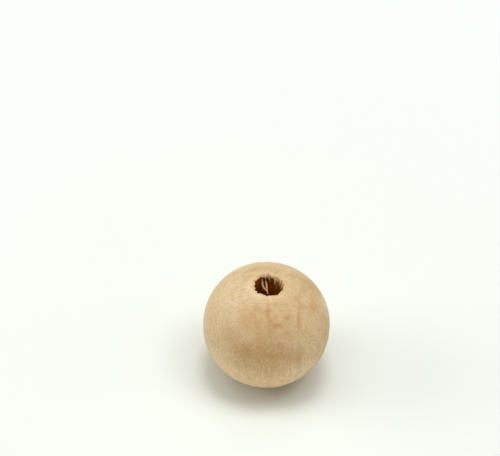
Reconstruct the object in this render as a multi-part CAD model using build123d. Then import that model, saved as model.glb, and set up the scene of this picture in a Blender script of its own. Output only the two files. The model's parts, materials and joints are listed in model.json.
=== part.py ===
from build123d import *
import os
from math import acos, degrees, sqrt

# A turned wooden bead: a slightly flattened ball, drilled through along the grain.
# Millimetres. The bore runs along +Z, the origin is the middle of the bead, and it stands on its lower end.

# Driving dimensions
diameter = 20.0
length = 18.3
bore_diameter = 4.4

# The ball's outline: a short straight band round the waist, then one arc up to the faced end
waist_band = 0.57
shoulder_radius = 9.07

# The mouths: the rim is rubbed round, and small scoops are torn out of it along the grain
rim_rounding = 0.15
chip_radius = 0.32
chip_length = 3.0
chip_lean = 16.0

# Where each scoop lies round the upper mouth, in degrees from +X, and how far it reaches past the bore's wall
chips = [
    (2, 0.20),
    (29, 0.17),
    (54, 0.22),
    (96, 0.26),
    (129, 0.19),
    (164, 0.26),
    (190, 0.20),
    (210, 0.31),
    (226, 0.30),
    (264, 0.10),
    (307, 0.21),
    (342, 0.17),
]

radius = diameter / 2
bore_radius = bore_diameter / 2
half_length = length / 2
half_band = waist_band / 2
shoulder_centre = radius - shoulder_radius
land_radius = shoulder_centre + sqrt(shoulder_radius**2 - (half_length - half_band) ** 2)


def turned_body():
    """The half section beside the bore, turned round the bore's axis."""
    shoulder_angle = degrees(acos((land_radius - shoulder_centre) / shoulder_radius))
    rim_radius = bore_radius + rim_rounding
    rim_height = half_length - rim_rounding
    with BuildPart() as body:
        with BuildSketch(Plane.XZ):
            with BuildLine():
                Line((bore_radius, 0), (bore_radius, rim_height))
                CenterArc((rim_radius, rim_height), rim_rounding, 180, -90)
                Line((rim_radius, half_length), (land_radius, half_length))
                CenterArc((shoulder_centre, half_band), shoulder_radius, shoulder_angle, -shoulder_angle)
                Line((radius, half_band), (radius, 0))
                mirror(about=Plane.XZ)
            make_face()
        revolve(axis=Axis.Z)
    return body.part


def torn_scoops():
    """Round scoops round the upper mouth that lean outwards, and fade into the bore's wall below it."""
    scoops = []
    for azimuth, reach in chips:
        place = Pos(bore_radius + reach - chip_radius, 0, half_length) * Rot(0, chip_lean, 0)
        scoops.append(Rot(0, 0, azimuth) * place * Cylinder(chip_radius, chip_length))
    return scoops


def bead():
    """The turned body with both mouths torn, the lower one as the upper one turned over."""
    upper_scoops = torn_scoops()
    lower_scoops = [Rot(180, 0, 0) * scoop for scoop in upper_scoops]
    return turned_body() - upper_scoops - lower_scoops


os.makedirs("parts", exist_ok=True)
export_step(bead(), "parts/bead.step")
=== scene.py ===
import json
from math import asin, atan2, cos, degrees, pi, radians, sin, sqrt, tan
from random import Random

import bpy
from mathutils import Matrix, Vector, noise


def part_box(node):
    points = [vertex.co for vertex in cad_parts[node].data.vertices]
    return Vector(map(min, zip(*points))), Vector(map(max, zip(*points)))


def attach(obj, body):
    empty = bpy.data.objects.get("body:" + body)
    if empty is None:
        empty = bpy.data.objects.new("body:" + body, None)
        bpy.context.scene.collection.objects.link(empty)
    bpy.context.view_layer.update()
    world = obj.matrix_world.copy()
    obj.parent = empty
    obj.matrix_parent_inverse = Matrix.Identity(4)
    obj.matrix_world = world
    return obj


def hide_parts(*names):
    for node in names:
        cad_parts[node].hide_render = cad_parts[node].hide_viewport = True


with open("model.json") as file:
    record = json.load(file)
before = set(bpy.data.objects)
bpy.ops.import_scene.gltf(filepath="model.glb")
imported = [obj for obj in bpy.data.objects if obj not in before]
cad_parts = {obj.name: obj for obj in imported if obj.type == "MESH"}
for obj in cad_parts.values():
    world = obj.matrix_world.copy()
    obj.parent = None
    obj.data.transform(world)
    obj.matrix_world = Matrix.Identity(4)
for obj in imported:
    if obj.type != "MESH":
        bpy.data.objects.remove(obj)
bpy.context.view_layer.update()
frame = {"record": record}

# A bare turned wooden bead, standing on its lower end on a white floor.
# Metres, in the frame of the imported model: the bore runs along +Z and the origin is the middle of the bead.

MM = 0.001

# The bead's main sizes come from the frame
_, top_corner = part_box("bead")
radius = top_corner.x
half_length = top_corner.z
bore_mount = next(m for m in frame["record"]["mounts"] if m["name"] == "cord_bore")
bore_radius = bore_mount["dims"]["r_mm"] * MM

# The outline's other sizes are those of the part's source
half_band = 0.285 * MM
shoulder_radius = 9.07 * MM
shoulder_centre = radius - shoulder_radius
land_radius = shoulder_centre + sqrt(shoulder_radius**2 - (half_length - half_band) ** 2)
rim_rounding = 0.15 * MM

# The rubbed edge of the lip between the scoops, its width and depth, and that of the scoops themselves
lip_rounding = 0.5 * rim_rounding
lip_rounding_depth = 0.7 * rim_rounding
scoop_rounding = 0.4 * rim_rounding

# Scoops torn out of the rims along the grain: azimuth in degrees, and reach past the bore's wall in mm
scoop_radius = 0.32 * MM
scoop_lean = radians(16)
scoops = [
    (2, 0.20),
    (29, 0.17),
    (54, 0.22),
    (96, 0.26),
    (129, 0.19),
    (164, 0.26),
    (190, 0.20),
    (210, 0.31),
    (226, 0.30),
    (264, 0.10),
    (307, 0.21),
    (342, 0.17),
]

# The wood's unevenness in millimetres: the drilled wall's flutes, its ragged edge and how deep that goes,
# the torn scoops, the faced ends, and the ball's waves and ripples
coarse_flutes = 0.045
fine_flutes = 0.03
coarse_ragged = 0.07
fine_ragged = 0.04
ragged_depth = 0.7
scoop_relief = 0.035
land_relief = 0.02
ball_waves = 0.02
ball_ripples = 0.006

# The skin's divisions: columns round the bore, and rows along each stretch of the half section. The power is
# the one by which the bore's rows crowd towards the lip.
columns = 512
bore_rows = 42
bore_row_power = 1.8
rim_rows = 9
land_rows = 5
shoulder_rows = 38

# The photograph's frame, and where the bead lies in it, in its pixels
photo_width, photo_height = 500, 456
bead_pixel = (266.4, 324.6)
bead_radius_pixels = 63.2

# The grain, in millimetres: the pith's place, a ring's distance from it, the rings' width and their drift
pith = (22, -3.2)
first_ring = 22.6
ring_width = 4.58
ring_drift = 0.8

# Where in a ring the late wood and its dark line begin and where both are darkest, as shares of its width
late_start = 0.66
line_start = 0.85
ring_edge = 0.94

# Scales of the pattern's noises, in 1/mm across and along the grain
drift_scale = (0.16, 0.16, 0.05)
break_scale = (0.9, 0.9, 0.7)
cloud_scale = (0.2, 0.2, 0.13)
blotch_scale = (0.6, 0.6, 0.4)
mottle_scale = (0.9, 0.9, 0.7)
warmth_scale = (0.8, 0.8, 0.5)
fibre_scale = (6.5, 6.5, 0.6)
hair_scale = (15, 15, 1.4)
pore_scale = (4.2, 4.2, 1.1)
streak_scale = (3.5, 3.5, 0.25)
patch_scale = (0.8, 0.8, 0.8)
burn_edge_scale = (5, 5, 0.3)
strand_scale = (14, 14, 1.2)

# The same for the ray sheets, outwards from the pith, round it and along the grain
ray_cloud_scale = (0.6, 1.6, 1.1)
ray_sheet_scale = (0.9, 5.0, 2.6)

# How strongly late wood, rays, pores and pin dots colour the wood
late_strength = 0.34
ray_strength = 0.22
pore_strength = 0.45
dot_strength = 0.65

# How deep the grain and a loose fibre's streaks look
grain_relief = 0.02 * MM
streak_relief = 0.015 * MM

# The wood is painted paler towards its upper left, where the light falls, as painted light: the change of its
# tone in each direction, in 1/mm
lit_side_paleness = (-0.01, -0.002, 0.011)

# The fibres show most round this height, in millimetres above the bead's middle
fibrous_height = 2.6

# Marks in the front of the wood, in millimetres: middle, half sizes and strength. First broad brown shades,
# partly brown
# stains and partly painted shade: the darker band across the front where it turns from the light, and below
# the upper mouth
brown_stain_and_shade_marks = [
    ((-0.4, -8.9, 3.4), (6.4, 3.0, 2.6), 0.44),
    ((0.0, -9.6, 1.2), (6.0, 3.0, 1.8), 0.16),
    ((1.2, -8.0, 5.5), (4.4, 2.0, 1.5), 0.18),
    ((0.3, -6.6, 7.0), (5.6, 4.0, 3.4), 0.32),
    ((-5.2, -7.2, 5.0), (2.8, 2.5, 2.6), 0.27),
    ((-4.6, -8.8, 0.4), (2.6, 2.5, 1.5), 0.10),
    ((-7.0, -7.0, 1.3), (2.0, 2.5, 1.8), 0.12),
    ((0.8, -4.3, 9.0), (2.6, 1.6, 1.2), 0.12),
]
# Then the small brown flecks and streaks
brown_flecks = [
    ((-3.0, -9.0, 3.0), (2.6, 1.5, 1.3), 0.14),
    ((1.7, -9.4, 3.0), (1.7, 1.5, 0.9), 0.24),
    ((5.4, -8.2, 2.2), (0.7, 1.5, 0.9), 0.20),
    ((0.1, -5.0, 8.6), (0.45, 1.4, 1.4), 0.44),
    ((0.6, -6.2, 7.8), (0.45, 0.8, 0.9), 0.30),
    ((3.3, -5.3, 7.8), (0.9, 0.8, 0.28), 0.30),
    ((1.6, -6.7, 7.2), (1.1, 0.9, 0.35), 0.42),
    ((2.3, -8.4, 4.8), (0.8, 1.0, 0.5), 0.20),
    ((4.5, -1.9, 8.7), (0.6, 1.2, 0.7), 0.40),
    ((5.0, -5.0, 7.2), (0.4, 2.0, 2.0), 0.26),
    ((2.9, -3.5, 8.7), (1.7, 0.3, 0.22), 0.34),
    ((4.2, -3.0, 8.5), (0.7, 0.8, 0.4), 0.32),
    ((-3.0, -6.0, 7.4), (1.4, 1.5, 1.2), 0.22),
    ((-2.0, -4.4, 8.8), (0.6, 0.8, 0.6), 0.34),
    ((-3.4, -4.4, 8.3), (0.9, 0.8, 0.5), 0.15),
    ((0.6, -9.7, 0.6), (0.4, 1.0, 1.5), 0.22),
]
# And a brown pit in the torn ring, left of the upper mouth
lip_pits = [
    ((-2.56, -0.5, 9.1), (0.32, 0.24, 0.4), 0.9),
]
# Then painted light: a redder band across the front for warm light thrown back from below, paler cream wood
# below it for the floor's bounce light, and whiter wood beside and above it for a painted highlight at the
# upper left and bounce light at the sides
warm_bounce_marks = [
    ((0.0, -9.4, 1.6), (6.5, 3.0, 1.2), 0.32),
]
painted_bounce_marks = [
    ((0.0, -8.8, -2.4), (10, 5.5, 4.8), 0.90),
    ((5.6, -8.2, -1.4), (4.4, 3.5, 3.0), 0.80),
    ((4.1, -9.0, 0.6), (1.8, 1.5, 1.4), 0.75),
]
painted_highlight_marks = [
    ((6.2, -7.8, -1.2), (3.0, 3.0, 2.6), 0.40),
    ((-7.0, -6.5, 0.0), (3.0, 3.0, 3.0), 0.35),
    ((-5.8, -1.5, 8.0), (3.0, 3.5, 2.0), 0.45),
    ((-3.2, -1.6, 9.2), (2.4, 2.4, 1.5), 0.35),
]

# Dark pin dots in the front, and their radius
pin_dots = [
    (-3.4, -8.4, 4.3),
    (7.4, -5.7, 3.5),
    (-5.6, -7.2, 4.1),
    (-1.8, -9.7, 1.9),
    (6.1, -5.7, 5.6),
    (-7.3, -4.9, 4.8),
]
pin_radius = 0.16

# The upper lip is worn off most on this side, by this much in width and depth
worn_azimuth = radians(82)
lip_wear = 0.34 * MM
lip_wear_depth = 0.50 * MM

# The wall's burn and char start deeper down in these directions, by the vector's length for each millimetre.
# Far down, the wall is less burnt on the spared side. Both are partly the drill's uneven burn and partly
# painted
# light: the far and right walls, where light falls into the bore, are painted lighter.
less_burnt_and_lit = (0.20, 0.27, 0)
less_charred_and_lit = (1.2, 0.05, 0)
spared_and_lit_side = (1, 0, 0)

# The pale torn ring round the mouths shows most on this side, as painted light, and fades towards the far
# side as painted shade
lit_lip_side = (-0.5, -0.85, 0)

# Colours of the wood. The white, the cream and the red stand in for painted light: a highlight and bounce
# light, the floor's bounce light, and warm light thrown back from below. The worn pale is partly painted
# light.
wood_pale = (0.735, 0.545, 0.30, 1)
highlight_white = (0.82, 0.67, 0.425, 1)
bounce_cream = (0.895, 0.635, 0.336, 1)
wood_brown = (0.61, 0.385, 0.155, 1)
warm_bounce_red = (0.77, 0.445, 0.188, 1)
late_wood = (0.48, 0.285, 0.125, 1)
ray_fleck = (0.54, 0.29, 0.13, 1)
mark_brown = (0.53, 0.265, 0.083, 1)
pore_shade = (0.26, 0.12, 0.035, 1)
warm_tint = (1.005, 0.992, 0.965, 1)
cool_tint = (0.995, 1.005, 1.03, 1)
grain_dark = (0.84, 0.79, 0.67, 1)
grain_light = (1.115, 1.155, 1.27, 1)
torn_pale = (0.88, 0.68, 0.42, 1)
torn_pink = (0.84, 0.55, 0.31, 1)
worn_and_lit_pale = (0.92, 0.69, 0.35, 1)
strand_pale = (0.92, 0.66, 0.34, 1)
strand_tan = (0.72, 0.42, 0.12, 1)
splinter_pale = (0.88, 0.58, 0.33, 1)
splinter_pink = (0.70, 0.42, 0.22, 1)
burnt_wood = (0.33, 0.088, 0.007, 1)
deep_wood = (0.56, 0.20, 0.022, 1)
scorched_wood = (0.50, 0.25, 0.06, 1)

# Loose fibres and crumbs: how many in each part, the seeds of their draws, and one fibre's width in mm
wall_bundles = 34
lip_crumbs = 110
lip_fibres = 260
bundle_seed = 4
fuzz_seed = 11
fibre_width = 0.06

# How far above each end's face they stand, in mm. At the lower end they stay inside, so the bead can stand.
crumb_height = {1: 0.03, -1: -0.14}

# The floor: half its side in metres, its own colour, and the even white that it turns into between these
# distances from the bead, in millimetres
floor_half = 1.5
floor_colour = (0.897, 0.942, 0.883, 1)
far_floor_colour = (0.975, 1.0, 0.965, 1)
floor_fade = (25, 120)

# The level of the even light from all round, and the lamps' distance from the bead. Then for each lamp its
# azimuth and elevation in degrees, its side in metres and its level.
room_level = 0.218
lamp_distance = 0.6
lamps = {
    "overhead": (90, 86, 0.2, 0.312),
    "upper_left": (180, 65, 0.25, 0.14),
    "upper_right": (0, 65, 0.25, 0.24),
    "upper_back": (90, 65, 0.25, 0.085),
    "left": (180, 25, 0.3, 0.25),
    "right": (0, 25, 0.3, 0.05),
    "front_right": (-40, 12, 0.3, 0.042),
}

# The camera's distance, its height above the bead's middle as an angle, and its lean
camera_distance = 0.40
camera_elevation = 47.8
camera_lean = 3.5


class Shader:
    """Short calls that add nodes to one material or world and link them."""

    def __init__(self, owner):
        owner.use_nodes = True
        self.tree = owner.node_tree
        self.tree.nodes.clear()

    def node(self, kind, inputs=(), **settings):
        made = self.tree.nodes.new(kind)
        for name, value in settings.items():
            setattr(made, name, value)
        for name, value in dict(inputs).items():
            self.set(made.inputs[name], value)
        return made

    def set(self, socket, value):
        if isinstance(value, bpy.types.NodeSocket):
            self.tree.links.new(value, socket)
        else:
            socket.default_value = value

    def math(self, operation, *values):
        return self.node("ShaderNodeMath", enumerate(values), operation=operation).outputs[0]

    def plus(self, a, b):
        return self.math("ADD", a, b)

    def minus(self, a, b):
        return self.math("SUBTRACT", a, b)

    def times(self, a, b):
        return self.math("MULTIPLY", a, b)

    def vector(self, operation, *values):
        made = self.node("ShaderNodeVectorMath", enumerate(values), operation=operation)
        return made.outputs["Value" if operation in ("LENGTH", "DISTANCE") else "Vector"]

    def dot(self, a, b):
        return self.node("ShaderNodeVectorMath", {0: a, 1: b}, operation="DOT_PRODUCT").outputs["Value"]

    def height(self, point):
        return self.node("ShaderNodeSeparateXYZ", {0: point}).outputs["Z"]

    def mix(self, factor, a, b, blend="MIX"):
        inputs = {"Factor": factor, "A": a, "B": b}
        made = self.node("ShaderNodeMix", data_type="RGBA", blend_type=blend)
        for name, value in inputs.items():
            sockets = [s for s in made.inputs if s.name == name and s.enabled]
            self.set(sockets[0], value)
        return next(s for s in made.outputs if s.enabled)

    def noise(self, point, scale, detail=2.0, roughness=0.5):
        """A noise between 0 and 1, with a scale for each direction."""
        scaled = self.vector("MULTIPLY", point, scale)
        inputs = {"Vector": scaled, "Scale": 1.0, "Detail": detail, "Roughness": roughness}
        return self.node("ShaderNodeTexNoise", inputs).outputs["Fac"]

    def wander(self, point, scale, reach):
        """The point moved by up to half the reach, so that what is drawn there gets a natural edge."""
        inputs = {"Vector": point, "Scale": scale, "Detail": 2.0}
        cloud = self.node("ShaderNodeTexNoise", inputs).outputs["Color"]
        away = self.vector("MULTIPLY_ADD", cloud, (reach,) * 3, (-reach / 2,) * 3)
        return self.vector("ADD", point, away)

    def millimetres(self):
        """The point that is shaded, in millimetres from the middle of the bead."""
        place = self.node("ShaderNodeTexCoord").outputs["Object"]
        return self.vector("MULTIPLY", place, (1000, 1000, 1000))

    def seen_directly(self):
        """1 for what the camera sees, mirrored or through glass too, and 0 for what only gives light."""
        path = self.node("ShaderNodeLightPath").outputs
        clear = self.math("MAXIMUM", path["Is Glossy Ray"], path["Is Transmission Ray"])
        return self.math("MAXIMUM", path["Is Camera Ray"], clear)

    def ease(self, value, low, high, to_low=0.0, to_high=1.0):
        """A smooth step from to_low at low to to_high at high, and level beyond them."""
        inputs = {"Value": value, "From Min": low, "From Max": high, "To Min": to_low, "To Max": to_high}
        made = self.node("ShaderNodeMapRange", inputs, interpolation_type="SMOOTHSTEP")
        return made.outputs["Result"]


def add_mesh(name, points, faces, material):
    """A new object with smooth faces from points in metres."""
    mesh = bpy.data.meshes.new(name)
    mesh.from_pydata(points, [], faces)
    mesh.polygons.foreach_set("use_smooth", [True] * len(faces))
    mesh.materials.append(material)
    mesh.validate()
    made = bpy.data.objects.new(name, mesh)
    bpy.context.scene.collection.objects.link(made)
    return made


def scoop_edge(azimuth, depth, end):
    """How far out the torn scoops reach at one place of the wall, or 0 where there is none."""
    reached = 0.0
    for degrees_round, reach in scoops:
        middle = end * radians(degrees_round)
        off = atan2(sin(azimuth - middle), cos(azimuth - middle))
        axis_radius = bore_radius + reach * MM - scoop_radius - depth * tan(scoop_lean)
        inside = scoop_radius**2 - (axis_radius * sin(off)) ** 2
        if inside > 0 and cos(off) > 0:
            reached = max(reached, axis_radius * cos(off) + sqrt(inside))
    return reached


def worn_rim(azimuth, end):
    """How wide and how deep the lip is rounded: a little all round, and more on its worn side."""
    x, y = cos(azimuth), sin(azimuth)
    uneven = 1 + 0.35 * noise.noise((5 * x, 5 * y, 7 * end))
    worn = max(0.06, cos(azimuth - end * worn_azimuth) ** 3)
    worn *= 1 + 0.5 * noise.noise((5 * x, 5 * y, 3 * end))
    return lip_rounding * uneven + lip_wear * worn, lip_rounding_depth + lip_wear_depth * worn


def rounding(width, depth, deepest):
    """How far a rounded edge stands back at a depth below the face."""
    up = max(0.0, 1 - depth / deepest)
    return width * (1 - sqrt(1 - up**2))


def wall_radius(azimuth, depth, end):
    """Radius of the drilled wall, with its flutes, its ragged and worn lip and the torn scoops."""
    x, y, z = cos(azimuth), sin(azimuth), end * (half_length - depth) / MM
    flutes = coarse_flutes * noise.noise((6 * x, 6 * y, 0.22 * z))
    flutes += fine_flutes * noise.noise((16 * x, 16 * y, 0.5 * z + 9))
    ragged = coarse_ragged * noise.noise((7 * x + 25, 7 * y + 15, 0.8 * z))
    ragged += fine_ragged * noise.noise((24 * x, 24 * y + 7, 1.5 * z))
    ragged *= max(0.0, 1 - depth / (ragged_depth * MM))
    wall = bore_radius + (flutes + ragged) * MM
    rim_width, rim_depth = worn_rim(azimuth, end)
    wall += rounding(rim_width, depth, rim_depth)
    torn = scoop_edge(azimuth, depth, end)
    torn += scoop_relief * MM * noise.noise((9 * x, 9 * y + 3, 1.5 * z))
    torn += rounding(scoop_rounding, depth, rim_rounding)
    return max(wall, torn)


def skin_waver(azimuth, z):
    """The slight unevenness that turning and sanding leave on the ball."""
    point = Vector((cos(azimuth), sin(azimuth), 0)) * sqrt(max(0.0, 1 - (z / radius) ** 2))
    point.z = z / radius
    return (ball_waves * noise.noise(point * 2.2) + ball_ripples * noise.noise(point * 9)) * MM


def half_section(azimuth, end):
    """Points (r, z) from the bore's middle over the mouth at that end to the waist, where z is 0."""
    section = []
    x, y = cos(azimuth), sin(azimuth)
    rim_depth = worn_rim(azimuth, end)[1]
    for row in range(bore_rows):
        depth = rim_depth + (half_length - rim_depth) * (1 - row / bore_rows) ** bore_row_power
        section.append((wall_radius(azimuth, depth, end), half_length - depth))
    for row in range(1, rim_rows + 1):
        depth = rim_depth * (1 - sin(pi / 2 * row / rim_rows))
        section.append((wall_radius(azimuth, depth, end), half_length - depth))
    rim = section[-1][0]
    for row in range(1, land_rows + 1):
        r = rim + (land_radius - rim) * row / land_rows
        fade = sin(pi * row / land_rows)
        uneven = 1 + noise.noise((3 * x * r / MM, 3 * y * r / MM, 4 * end))
        sunk = land_relief * MM * uneven * fade
        section.append((r, half_length - sunk))
    first = asin((half_length - half_band) / shoulder_radius)
    for row in range(1, shoulder_rows + 1):
        turn = first * (1 - row / shoulder_rows)
        z = half_band + shoulder_radius * sin(turn)
        out = shoulder_radius + skin_waver(azimuth, end * z) * min(1.0, row / 4)
        section.append((shoulder_centre + out * cos(turn), half_band + out * sin(turn)))
    return section


def bead_skin(wood, burnt):
    """The whole wood as one closed grid, with a material of its own on the drilled wall."""
    points = []
    for column in range(columns):
        azimuth = 2 * pi * column / columns
        upper = half_section(azimuth, 1)
        lower = half_section(azimuth, -1)
        loop = upper + [(r, -z) for r, z in reversed(lower)][:-1]
        points += [(r * cos(azimuth), r * sin(azimuth), z) for r, z in loop]
    rows = len(points) // columns
    faces = []
    for column in range(columns):
        here, there = column * rows, (column + 1) % columns * rows
        for row in range(rows):
            after = (row + 1) % rows
            faces.append((here + row, here + after, there + after, there + row))
    skin = add_mesh("bead_wood", points, faces, wood)
    skin.data.materials.append(burnt)
    for number, face in enumerate(skin.data.polygons):
        row = number % rows
        face.material_index = row < bore_rows - 1 or row > rows - bore_rows
    return skin


def along(path, share):
    """The point at a share of the way along a smooth curve through the path's points."""
    reach = share * (len(path) - 1)
    first = min(int(reach), len(path) - 2)
    t = reach - first
    before, a, b, after = (path[min(max(first + step, 0), len(path) - 1)] for step in (-1, 0, 1, 2))
    bend = (before * 2 - a * 5 + b * 4 - after) * t**2 + (a * 3 - before - b * 3 + after) * t**3
    return a + ((b - before) * t + bend) / 2


def add_strand(shape, path, flatness, steps, sides=6, thin_way=None):
    """Adds one torn strand to the shape's points and faces, ribbed lengthwise and closed at both ends.

    The path has (x, y, z, width) in millimetres from root to tip. Flatness is the strand's thickness as a
    share of its width. Its thin way is towards the bore's axis, or the one that is given.
    """
    points, faces = shape
    path = [Vector(p) for p in path]
    start = len(points)
    points.append(path[0].xyz * MM)
    for step in range(1, steps):
        here = along(path, step / steps)
        forward = along(path, (step + 0.5) / steps) - along(path, (step - 0.5) / steps)
        forward = forward.xyz.normalized()
        thin = thin_way or Vector((here.x, here.y, 0))
        wide = forward.cross(thin).normalized()
        thin = wide.cross(forward)
        torn = 1 + 0.5 * noise.noise(here.xyz * 6)
        half_width = here.w / 2 * torn * min(1.0, 2.5 * step / steps)
        for side in range(sides):
            turn = 2 * pi * side / sides
            rib = 1 + 0.6 * noise.noise((1.7 * side, 0.31 * start, 0.25 * step))
            out = wide * (half_width * cos(turn)) + thin * (half_width * flatness * sin(turn))
            points.append((here.xyz + out * rib) * MM)
    points.append(path[-1].xyz * MM)
    tip = len(points) - 1
    for side in range(sides):
        here, there = start + 1 + side, start + 1 + (side + 1) % sides
        faces.append((start, here, there))
        for step in range(steps - 2):
            low, high = step * sides, (step + 1) * sides
            faces.append((here + low, here + high, there + high, there + low))
        last = (steps - 2) * sides
        faces.append((here + last, tip, there + last))


def splinter(material):
    """The forked splinter that hangs from the wall's far side into the bore."""
    top = half_length / MM
    shape = [], []
    # Each prong from root to tip: x, y, depth below the face and width, in millimetres
    right = [
        (-0.66, 2.13, 0.95, 0.10),
        (-0.60, 1.97, 1.14, 0.18),
        (-0.47, 1.72, 1.45, 0.25),
        (-0.41, 1.50, 1.75, 0.28),
        (-0.38, 1.24, 2.05, 0.25),
        (-0.29, 0.97, 2.32, 0.22),
        (-0.16, 0.75, 2.50, 0.15),
        (-0.08, 0.55, 2.66, 0.02),
    ]
    left = [
        (-1.10, 1.98, 0.72, 0.10),
        (-1.09, 1.80, 0.92, 0.17),
        (-1.08, 1.60, 1.20, 0.22),
        (-1.02, 1.36, 1.50, 0.24),
        (-0.85, 1.12, 1.80, 0.25),
        (-0.58, 0.98, 2.10, 0.25),
        (-0.32, 0.93, 2.35, 0.02),
    ]
    for prong in (right, left):
        whole = [(x, y, top - depth, width) for x, y, depth, width in prong]
        add_strand(shape, whole, 0.45, steps=30, sides=12)
        # Thin fibres that have split off beside the prong
        for shift in (-0.11, 0.09, 0.13):
            loose = [(x + shift, y - 0.03, z, 0.055) for x, y, z, _ in whole[1:-2]]
            add_strand(shape, loose, 0.6, steps=14)
    return add_mesh("bore_splinter", *shape, material)


def wall_strands(material):
    """Bundles of loose fibres along the drilled wall: some listed one by one, and finer ones all round."""
    draw = Random(bundle_seed)
    # Azimuth and depth of the top, the same of the foot, width, and how far the foot stands off
    strips = [
        (66, 0.15, 61, 1.7, 0.46, 0.52),
        (60, 0.20, 58, 0.9, 0.18, 0.20),
        (52, 0.20, 51, 1.2, 0.20, 0.25),
        (44, 0.15, 44, 0.9, 0.18, 0.15),
        (58, 1.40, 52, 2.4, 0.14, 0.40),
        (35, 0.20, 32, 1.2, 0.26, 0.30),
        (24, 0.50, 20, 1.7, 0.22, 0.30),
        (12, 0.15, 10, 1.1, 0.22, 0.25),
        (80, 0.30, 79, 0.7, 0.16, 0.10),
        (93, 0.60, 86, 1.4, 0.08, 0.50),
        (108, 0.25, 108, 0.8, 0.16, 0.15),
    ]
    ends = [(strips, 1)]
    for end in (1, -1):
        fine = []
        for _ in range(wall_bundles):
            azimuth = draw.uniform(-30, 130) if end > 0 else draw.uniform(0, 360)
            start = draw.uniform(0.05, 2.5)
            stop = start + draw.uniform(0.5, 1.8)
            width = draw.uniform(0.05, 0.12)
            fine.append((azimuth, start, azimuth, stop, width, draw.uniform(0.05, 0.2)))
        ends.append((fine, end))
    shape = [], []
    for chosen, end in ends:
        for from_azimuth, start, to_azimuth, stop, width, stand_off in chosen:
            fibres = max(1, round(width / fibre_width))
            for number in range(fibres):
                aside = degrees(((number + 0.5) / fibres - 0.5) * width * MM / bore_radius)
                length = (stop - start) * draw.uniform(0.6, 1.0)
                stand = stand_off * draw.uniform(0.8, 1.2)
                path = []
                for share in (0, 0.35, 0.7, 1):
                    depth = start + length * share
                    azimuth = from_azimuth + (to_azimuth - from_azimuth) * share
                    azimuth += aside * (1 - 0.4 * share)
                    azimuth = radians(azimuth + draw.uniform(-1, 1))
                    r = wall_radius(azimuth, depth * MM, end) / MM + 0.03 - (stand + 0.05) * share
                    z = end * (half_length / MM - depth)
                    thick = width / fibres * 1.6 * (1 - 0.7 * share**2)
                    path.append((r * cos(azimuth), r * sin(azimuth), z, thick))
                add_strand(shape, path, 0.6, steps=10)
    return add_mesh("bore_strands", *shape, material)


def lip_crumb(shape, draw, end, proud):
    """One small flake of wood that lies on the lip and points outwards."""
    top = half_length / MM
    azimuth = radians(draw.uniform(0, 360))
    outward = Vector((cos(azimuth), sin(azimuth), 0))
    along_lip = Vector((-sin(azimuth), cos(azimuth), 0))
    size = draw.uniform(0.10, 0.26)
    way = outward * draw.uniform(0.3, 1.0) + along_lip * draw.uniform(-0.9, 0.9)
    root = outward * (wall_radius(azimuth, 0, end) / MM + draw.uniform(-0.12, 0.12))
    heights = (-0.07, proud * 0.6, proud * 0.7, -0.06)
    path = []
    for share, height, wide in zip((0, 0.3, 0.7, 1), heights, (0.5, 0.8, 0.6, 0.3)):
        place = root + way * (size * share)
        path.append((place.x, place.y, end * (top + height), size * wide))
    add_strand(shape, path, 0.35, steps=7, sides=7, thin_way=Vector((0, 0, 1)))


def lip_fibre(shape, draw, end, proud, outside):
    """One short fibre: over the lip and outwards, or down into the bore on the worn side."""
    top = half_length / MM
    if outside:
        azimuth = radians(draw.uniform(0, 360))
    else:
        azimuth = end * worn_azimuth + draw.uniform(-1.4, 0.9)
    outward = Vector((cos(azimuth), sin(azimuth), 0))
    aside = Vector((-sin(azimuth), cos(azimuth), 0)) * draw.uniform(-0.6, 0.6)
    width = draw.uniform(0.03, 0.07)
    length = draw.uniform(0.15, 0.5)
    if outside:
        root = outward * (wall_radius(azimuth, 0, end) / MM - 0.03)
        way = (outward + aside) * length
        heights = (-0.06, proud * 0.6, proud)
    else:
        start = 0.5 * worn_rim(azimuth, end)[1]
        root = outward * (wall_radius(azimuth, start, end) / MM + 0.02)
        way = (aside * 0.5 - outward * 0.3) * length
        heights = (-start / MM, -start / MM - length * 0.4, -start / MM - length * 0.8)
    path = []
    for share, height, thinner in zip((0, 0.5, 1), heights, (0.8, 1.0, 0.3)):
        place = root + way * share
        path.append((place.x, place.y, end * (top + height), width * thinner))
    add_strand(shape, path, 0.7, steps=7, thin_way=Vector((0, 0, 1)) if outside else None)


def mouth_fuzz(name, end, material):
    """Crumbs and short fibres torn loose round one mouth."""
    draw = Random(fuzz_seed + end)
    proud = crumb_height[end]
    shape = [], []
    for _ in range(lip_crumbs):
        lip_crumb(shape, draw, end, proud)
    for number in range(lip_fibres):
        lip_fibre(shape, draw, end, proud, outside=number % 3 > 0)
    return add_mesh(name, *shape, material)


def axis_distance(s, mm):
    """How far each point is from the bore's axis."""
    return s.vector("LENGTH", s.vector("MULTIPLY", mm, (1, 1, 0)))


def face_depth(s, mm):
    """How deep each point is below the face of the nearer end."""
    return s.minus(half_length / MM, s.math("ABSOLUTE", s.height(mm)))


def marks_at(s, mm, marks):
    """How strongly the marks colour each point. Each is strongest in its middle and fades outwards."""
    strongest = 0.0
    for middle, halves, strength in marks:
        shares = s.vector("DIVIDE", s.vector("SUBTRACT", mm, middle), halves)
        strongest = s.math("MAXIMUM", strongest, s.ease(s.vector("LENGTH", shares), 0.2, 1.3, strength, 0))
    return strongest


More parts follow.
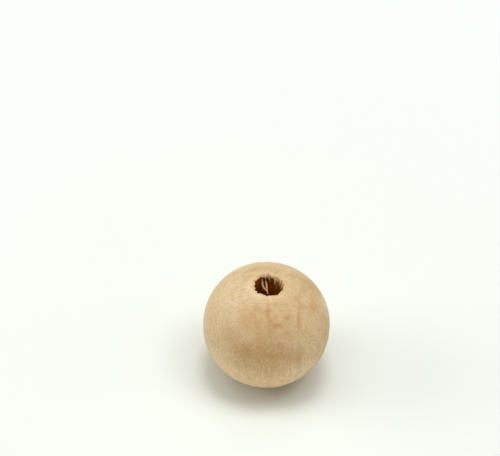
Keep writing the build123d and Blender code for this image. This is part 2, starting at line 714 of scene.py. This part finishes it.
def growth_rings(s, mm):
    """How dark the late wood is, and each point's place outwards from the pith, round it and along it."""
    from_pith = s.vector("MULTIPLY", s.vector("SUBTRACT", mm, (*pith, 0)), (1, 1, 0))
    drift = s.times(s.noise(mm, drift_scale, 1.0), ring_drift)
    distance = s.plus(s.vector("LENGTH", from_pith), drift)
    phase = s.math("FRACT", s.math("DIVIDE", s.minus(distance, first_ring), ring_width))
    past_edge = s.ease(phase, ring_edge, 1.0, 1, 0)
    line = s.times(s.ease(phase, line_start, ring_edge), past_edge)
    band = s.times(s.ease(phase, late_start, ring_edge), past_edge)
    late = s.plus(s.times(band, 0.6), s.times(line, 0.7))
    # The rings are broken up, and fainter further from the pith
    broken = s.noise(mm, break_scale, 2.0, 0.6)
    late = s.times(late, s.ease(broken, 0.38, 0.62, 0.1, 1.0))
    late = s.times(late, s.ease(distance, first_ring + 1, first_ring + 4, 1.0, 0.4))

    across = s.node("ShaderNodeSeparateXYZ", {0: from_pith}).outputs
    around = s.times(s.math("ARCTAN2", across["Y"], across["X"]), first_ring)
    seen_from_pith = s.node("ShaderNodeCombineXYZ", {0: distance, 1: around, 2: s.height(mm)})
    return late, seen_from_pith.outputs[0]


def open_pores(s, mm):
    """Short dark pore dashes, each in its own cell stretched along the grain. Many cells have none."""
    inputs = {"Vector": s.vector("MULTIPLY", mm, pore_scale), "Scale": 1.0, "Randomness": 1.0}
    cells = s.node("ShaderNodeTexVoronoi", inputs).outputs
    chance = s.node("ShaderNodeSeparateColor", {0: cells["Color"]}).outputs[0]
    return s.times(s.ease(cells["Distance"], 0.10, 0.32, 1, 0), s.ease(chance, 0.45, 1.0))


def fibre_shade(s, mm):
    """The fibres as a height, and the shade that they and a coarser mottle give, round 0.5."""
    fibre = s.noise(mm, fibre_scale, 2.0, 0.6)
    hair = s.noise(mm, hair_scale, 2.0, 0.6)
    grain = s.plus(s.times(fibre, 0.65), s.times(hair, 0.35))
    height = s.height(mm)
    off_height = s.math("ABSOLUTE", s.minus(height, fibrous_height))
    fine = s.times(s.minus(grain, 0.5), s.ease(off_height, 1.0, 4.0, 1.0, 0.66))
    mottled = s.ease(s.math("ABSOLUTE", height), 3.0, 8.5, 0.1, 0.22)
    coarse = s.times(s.minus(s.noise(mm, mottle_scale, 1.0), 0.5), mottled)
    return grain, s.plus(s.plus(fine, coarse), 0.5)


def wood_grain(s, mm):
    """The figure of the solid wood, as a colour and a height."""
    cloud = s.noise(mm, cloud_scale)
    blotch = s.noise(mm, blotch_scale, 2.0, 0.55)
    tone = s.plus(s.times(cloud, 0.5), s.times(blotch, 0.5))
    # Painted light: the tone grows paler towards the upper left, where the light falls
    tone = s.plus(tone, s.dot(mm, lit_side_paleness))
    colour = s.mix(s.ease(tone, 0.3, 0.64), wood_brown, wood_pale)

    # The broad marks wander more than the small flecks
    near = s.wander(mm, 1.8, 0.8)
    far = s.wander(near, 0.4, 1.8)
    # Painted light: cream wood on the lower front for the floor's bounce light, and whiter wood for a painted
    # highlight at the upper left and bounce light at the sides
    colour = s.mix(marks_at(s, far, painted_bounce_marks), colour, bounce_cream)
    colour = s.mix(marks_at(s, far, painted_highlight_marks), colour, highlight_white)

    late, seen_from_pith = growth_rings(s, mm)
    ray_cloud = s.noise(seen_from_pith, ray_cloud_scale, 2.0, 0.55)
    ray_sheets = s.noise(seen_from_pith, ray_sheet_scale, 1.0)
    rays = s.plus(s.ease(ray_cloud, 0.55, 0.72, 0, 0.8), s.ease(ray_sheets, 0.48, 0.72, 0, 1.2))
    colour = s.mix(s.times(late, late_strength), colour, late_wood)
    colour = s.mix(s.times(rays, ray_strength), colour, ray_fleck)

    # Brown stains and flecks, with painted shade in the band across the front and below the upper mouth
    brown = s.plus(marks_at(s, far, brown_stain_and_shade_marks), marks_at(s, near, brown_flecks))
    colour = s.mix(brown, colour, mark_brown)
    # Painted light: a redder band across the front for warm light thrown back from below
    colour = s.mix(marks_at(s, far, warm_bounce_marks), colour, warm_bounce_red)

    warmth = s.noise(mm, warmth_scale, 1.0)
    tint = s.mix(s.ease(warmth, 0.38, 0.62), cool_tint, warm_tint)
    colour = s.mix(1.0, colour, tint, "MULTIPLY")
    grain, shade = fibre_shade(s, mm)
    colour = s.mix(1.0, colour, s.mix(s.ease(shade, 0.3, 0.7), grain_dark, grain_light), "MULTIPLY")

    dots = 0.0
    for middle in pin_dots:
        distance = s.vector("DISTANCE", mm, middle)
        dots = s.math("MAXIMUM", dots, s.ease(distance, 0.3 * pin_radius, pin_radius, dot_strength, 0))
    pores = open_pores(s, mm)
    colour = s.mix(s.math("MAXIMUM", s.times(pores, pore_strength), dots), colour, pore_shade)
    return colour, s.minus(grain, s.times(pores, 0.8))


def torn_mouth(s, mm, colour, out, depth):
    """The colour with the pale torn ring round the mouths, its pit, and the rubbed lip. Ring and lip are
    partly painted light.
    """
    land = land_radius / MM
    wall = bore_radius / MM
    ring = s.times(s.ease(out, land - 0.3, land + 1.1, 1, 0), s.ease(depth, 0.7, 0.1))
    # Painted light and shade: the ring is paler on the near left side and fades towards the far side
    facing = s.ease(s.dot(mm, lit_lip_side), -3.0, 3.0, 0.0, 0.9)
    patch = s.noise(mm, patch_scale, 2.0, 0.6)
    ring = s.times(ring, s.times(facing, s.ease(patch, 0.3, 0.62, 0.4, 1.0)))
    streak = s.noise(mm, streak_scale)
    torn = s.mix(s.ease(streak, 0.45, 0.7, 0, 0.6), torn_pale, torn_pink)
    colour = s.mix(ring, colour, torn)
    colour = s.mix(marks_at(s, mm, lip_pits), colour, mark_brown)
    # The rubbed lip is painted paler: partly its pale worn wood, partly painted light on its slope, which
    # turns from the light
    lip = s.times(s.ease(out, wall + 0.4, wall + 0.8, 1, 0), s.ease(depth, 0, 0.1))
    return s.mix(lip, colour, worn_and_lit_pale)


def burnt_wall(s, mm, colour, out, depth):
    """The colour with the drilled wall: scorched under the lip, then burnt, less so on the spared side, which
    is partly painted light.
    """
    wall = bore_radius / MM
    inside = s.ease(out, wall + 0.15, wall + 0.4, 1, 0)
    ragged = s.minus(s.noise(mm, burn_edge_scale, 3.0, 0.6), 0.5)
    # Partly painted light: the burn and char start deeper on the far and right walls, where light falls into
    # the bore
    burn_depth = s.minus(s.plus(depth, ragged), s.dot(mm, less_burnt_and_lit))
    burnt = s.times(s.ease(burn_depth, 0.0, 0.14), s.ease(depth, 0.1, 0.2))
    char_depth = s.minus(s.plus(depth, s.times(ragged, 2.5)), s.dot(mm, less_charred_and_lit))
    burn = s.mix(s.ease(char_depth, 0.1, 1.0), scorched_wood, burnt_wood)
    # Partly painted light: deep down, the spared side is paler
    spared = s.times(s.ease(depth, 1.0, 3.0), s.ease(s.dot(mm, spared_and_lit_side), -1.8, 0.8))
    burn = s.mix(spared, burn, deep_wood)
    return s.mix(s.times(inside, burnt), colour, burn)


def wood_material(name, gloss, sheen):
    """Bare pale hardwood, burnt dark down the drilled wall and pale where the mouths are torn. Its colour
    holds painted light and shade too.
    """
    material = bpy.data.materials.new(name)
    s = Shader(material)
    mm = s.millimetres()
    out = axis_distance(s, mm)
    depth = face_depth(s, mm)
    colour, relief = wood_grain(s, mm)
    colour = torn_mouth(s, mm, colour, out, depth)
    colour = burnt_wall(s, mm, colour, out, depth)

    inputs = {"Height": relief, "Strength": 1.0, "Distance": grain_relief}
    bump = s.node("ShaderNodeBump", inputs).outputs[0]
    roughness = s.ease(relief, 0.2, 0.7, 0.6, 0.48)
    inputs = {"Base Color": colour, "Roughness": roughness, "Normal": bump, "IOR": 1.5}
    inputs |= {"Specular IOR Level": gloss, "Sheen Weight": sheen}
    skin = s.node("ShaderNodeBsdfPrincipled", inputs)
    s.node("ShaderNodeOutputMaterial", {"Surface": skin.outputs[0]})
    return material


def torn_material(name, light, dark, fade=0.0):
    """Loose pale fibres, streaked lengthwise. They darken down the bore by the fade that is given."""
    material = bpy.data.materials.new(name)
    s = Shader(material)
    mm = s.millimetres()
    streak = s.noise(mm, strand_scale, 2.0, 0.6)
    sunk = s.ease(face_depth(s, mm), 0.5, 1.8, 0, fade)
    colour = s.mix(s.minus(s.ease(streak, 0.35, 0.65), sunk), dark, light)
    inputs = {"Height": streak, "Strength": 1.0, "Distance": streak_relief}
    bump = s.node("ShaderNodeBump", inputs).outputs[0]
    inputs = {"Base Color": colour, "Roughness": 0.7, "Normal": bump, "IOR": 1.5, "Specular IOR Level": 0.1}
    skin = s.node("ShaderNodeBsdfPrincipled", inputs)
    s.node("ShaderNodeOutputMaterial", {"Surface": skin.outputs[0]})
    return material


def floor():
    """A pale floor that takes the bead's shadow, and looks evenly white further out."""
    material = bpy.data.materials.new("white_floor")
    s = Shader(material)
    out = axis_distance(s, s.millimetres())
    far_out = s.times(s.seen_directly(), s.ease(out, *floor_fade))
    matt = s.node("ShaderNodeBsdfPrincipled", {"Base Color": floor_colour, "Roughness": 0.7})
    white = s.node("ShaderNodeEmission", {"Color": far_floor_colour, "Strength": 1.0})
    both = s.node("ShaderNodeMixShader", {0: far_out, 1: matt.outputs[0], 2: white.outputs[0]})
    s.node("ShaderNodeOutputMaterial", {"Surface": both.outputs[0]})
    signs = [(-1, -1), (1, -1), (1, 1), (-1, 1)]
    points = [(x * floor_half, y * floor_half, -half_length) for x, y in signs]
    return add_mesh("floor", points, [(0, 1, 2, 3)], material)


def soft_box(name, azimuth, elevation, side, level):
    """A square lamp that points at the bead. Its level is the light it gives a white card that faces it."""
    a, e = radians(azimuth), radians(elevation)
    place = Vector((cos(e) * cos(a), cos(e) * sin(a), sin(e))) * lamp_distance
    data = bpy.data.lights.new(name, "AREA")
    data.size = side
    data.energy = level * pi**2 * lamp_distance**2
    lamp = bpy.data.objects.new(name, data)
    lamp.location = place
    lamp.rotation_euler = (-place).to_track_quat("-Z", "Y").to_euler()
    bpy.context.scene.collection.objects.link(lamp)


def white_room():
    """Even light from all round, and plain white where the camera looks past the floor."""
    world = bpy.data.worlds.new("white_room")
    s = Shader(world)
    seen = s.node("ShaderNodeBackground", {"Color": (1, 1, 1, 1), "Strength": 1.0})
    light = s.node("ShaderNodeBackground", {"Color": (1, 1, 1, 1), "Strength": room_level})
    both = s.node("ShaderNodeMixShader", {0: s.seen_directly(), 1: light.outputs[0], 2: seen.outputs[0]})
    s.node("ShaderNodeOutputWorld", {"Surface": both.outputs[0]})
    bpy.context.scene.world = world


def camera():
    """The camera, aimed so that the bead falls where the photograph has it, with no shift."""
    focal_pixels = bead_radius_pixels * sqrt(camera_distance**2 - radius**2) / radius
    across = (bead_pixel[0] - photo_width / 2) / focal_pixels
    down = (bead_pixel[1] - photo_height / 2) / focal_pixels
    # The ray to the bead in the camera's own axes, before and after its lean
    own_ray = Vector((across, -down, -1))
    lean = Matrix.Rotation(radians(camera_lean), 3, "Z")
    ray = lean @ own_ray
    data = bpy.data.cameras.new("camera")
    data.sensor_width = 36
    data.lens = focal_pixels * data.sensor_width / photo_width
    data.clip_start = 0.01
    made = bpy.data.objects.new("camera", data)
    # Pitch and yaw that point that ray at the bead, which lies straight ahead along +Y
    elevation = radians(camera_elevation)
    level_ray = -ray.z
    pitch = elevation - atan2(-ray.y, level_ray)
    yaw = atan2(ray.x, level_ray * cos(pitch) + ray.y * sin(pitch))
    turn = Matrix.Rotation(yaw, 3, "Z") @ Matrix.Rotation(pi / 2 - pitch, 3, "X") @ lean
    sight = (turn @ own_ray).normalized()
    made.matrix_world = Matrix.Translation(-sight * camera_distance) @ turn.to_4x4()
    bpy.context.scene.collection.objects.link(made)
    bpy.context.scene.camera = made


camera()
white_room()
for name, settings in lamps.items():
    soft_box(name, *settings)
floor()

# The drilled wall has the same wood as the ball, with hardly any gloss and no sheen
wood = wood_material("bare_wood", gloss=0.2, sheen=0.2)
burnt = wood_material("burnt_bore", gloss=0.02, sheen=0.0)
bead = bead_skin(wood, burnt)
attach(bead, "root")
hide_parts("bead")

torn_fibre = torn_material("torn_fibre", strand_pale, strand_tan, fade=0.8)
splinter_fibre = torn_material("splinter_fibre", splinter_pale, splinter_pink)
lip_fuzz = torn_material("lip_fibre", torn_pale, torn_pink, fade=0.5)
loose_pieces = [
    splinter(splinter_fibre),
    wall_strands(torn_fibre),
    mouth_fuzz("mouth_fuzz_upper", 1, lip_fuzz),
    mouth_fuzz("mouth_fuzz_lower", -1, lip_fuzz),
]
for piece in loose_pieces:
    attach(piece, "root")

bpy.context.scene.view_settings.view_transform = "Standard"
